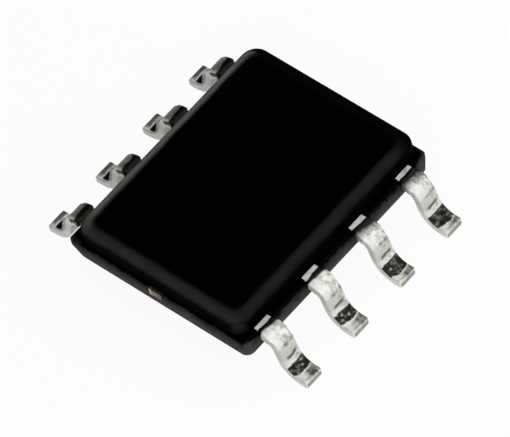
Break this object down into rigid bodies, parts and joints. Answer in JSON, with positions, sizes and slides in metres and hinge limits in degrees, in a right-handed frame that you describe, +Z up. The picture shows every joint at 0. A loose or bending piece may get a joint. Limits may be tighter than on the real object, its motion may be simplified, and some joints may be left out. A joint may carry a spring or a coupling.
{
  "type": "clock generator chip",
  "caption": "Black moulded surface-mount chip with a bevelled top edge and two rows of tinned gull-wing leads, which gives a circuit board its clock signal.",
  "frame": {"origin": "on the board plane under the lead feet, midway between the two lead rows and midway along them", "axes": "+X across the lead rows, towards leads 5 to 8; +Y along the rows, towards leads 1 and 8; +Z up from the board"},
  "size_m": [0.006, 0.005, 0.0013],
  "materials": {
    "mould_epoxy": "matt moulded epoxy",
    "tinned_lead": "bright tin plating over copper alloy",
    "copper_paddle": "bare stamped copper alloy",
    "silver_epoxy": "silver-filled epoxy",
    "silicon": "polished silicon",
    "gold_wire": "drawn gold"
  },
  "bodies": {
    "root": {"package_body": "mould_epoxy", "die_paddle": "copper_paddle", "die_attach": "silver_epoxy", "silicon_die": "silicon", "lead_1": "tinned_lead", "lead_2": "tinned_lead", "lead_3": "tinned_lead", "lead_4": "tinned_lead", "lead_5": "tinned_lead", "lead_6": "tinned_lead", "lead_7": "tinned_lead", "lead_8": "tinned_lead", "bond_wire_1": "gold_wire", "bond_wire_2": "gold_wire", "bond_wire_3": "gold_wire", "bond_wire_4": "gold_wire", "bond_wire_5": "gold_wire", "bond_wire_6": "gold_wire", "bond_wire_7": "gold_wire", "bond_wire_8": "gold_wire"}
  },
  "joints": []
}
